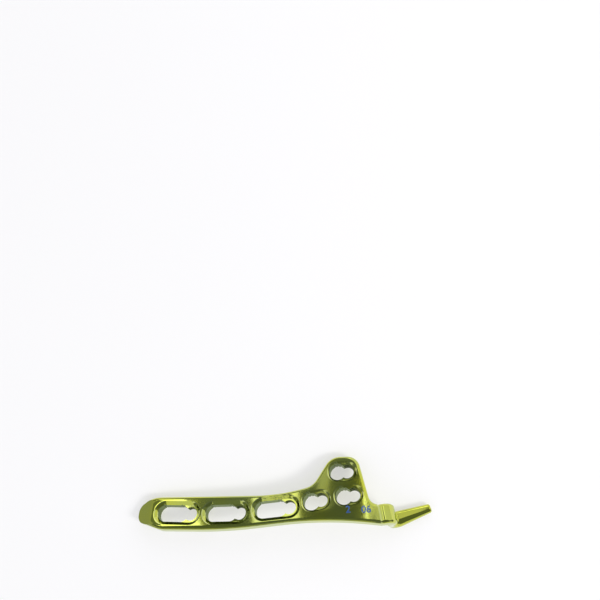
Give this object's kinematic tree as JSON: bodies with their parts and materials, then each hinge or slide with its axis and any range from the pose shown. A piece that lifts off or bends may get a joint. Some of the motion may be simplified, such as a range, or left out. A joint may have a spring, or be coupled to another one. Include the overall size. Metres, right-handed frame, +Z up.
{
  "type": "orthopedic bone plate",
  "caption": "Flat anodised bone plate with a row of combination screw holes, a flared side lobe, a tapered blunt end and a hook that steps down from its neck.",
  "frame": {"origin": "centre of the bounding box, at the level of the surface it rests on", "axes": "+X along the plate from its rounded end to the hook, +Z up as the loose plate lies at rest on its lower long edge, its flared lobe and its hook; the outer face looks up and towards +Y"},
  "size_m": [0.0946, 0.023, 0.0141],
  "materials": {
    "anodised_metal": "polished, anodised yellow-green"
  },
  "bodies": {
    "root": {"hook_plate": "anodised_metal"}
  },
  "joints": []
}
